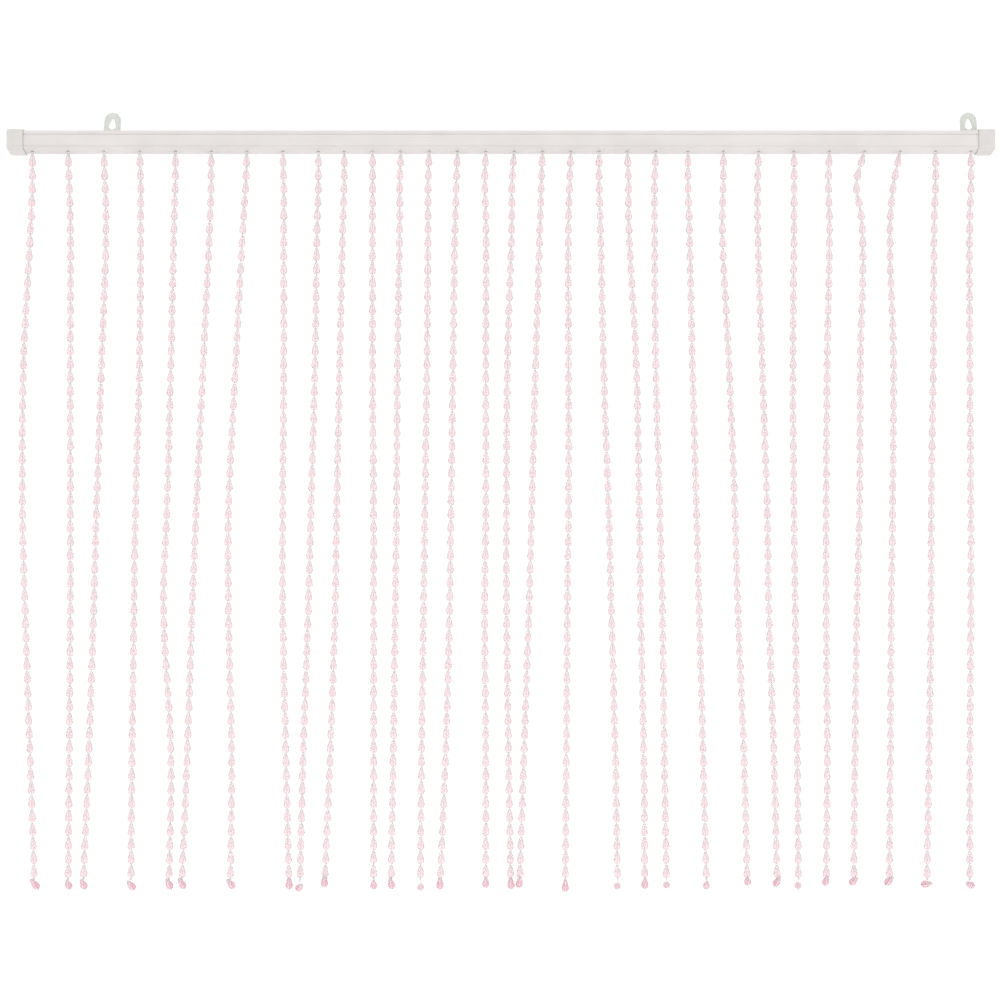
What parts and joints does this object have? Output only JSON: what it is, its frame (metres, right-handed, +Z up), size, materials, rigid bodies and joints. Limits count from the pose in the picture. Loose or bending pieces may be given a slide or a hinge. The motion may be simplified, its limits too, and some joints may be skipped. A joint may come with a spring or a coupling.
{
  "type": "bead curtain with rail",
  "caption": "Short curtain of hanging strands of drop-shaped beads on a slim pelmet rail with end caps and keyhole wall hangers.",
  "frame": {"origin": "on the wall plane, midway along the rail, level with the tops of the two keyholes where the screw shanks bear", "axes": "+X along the rail to the right as seen from the front, +Y into the wall, +Z up; the curtain faces -Y"},
  "size_m": [0.9, 0.023, 0.7108],
  "materials": {
    "rail_plastic": "off-white extruded plastic, satin",
    "cap_plastic": "off-white moulded plastic, faintly mottled",
    "hanger_plastic": "milky translucent moulded plastic",
    "bead_plastic": "clear pale pink faceted acrylic"
  },
  "bodies": {
    "root": {"rail": "rail_plastic", "cap_left": "cap_plastic", "cap_right": "cap_plastic", "hanger_left": "hanger_plastic", "hanger_right": "hanger_plastic", "strands": "bead_plastic"}
  },
  "joints": []
}
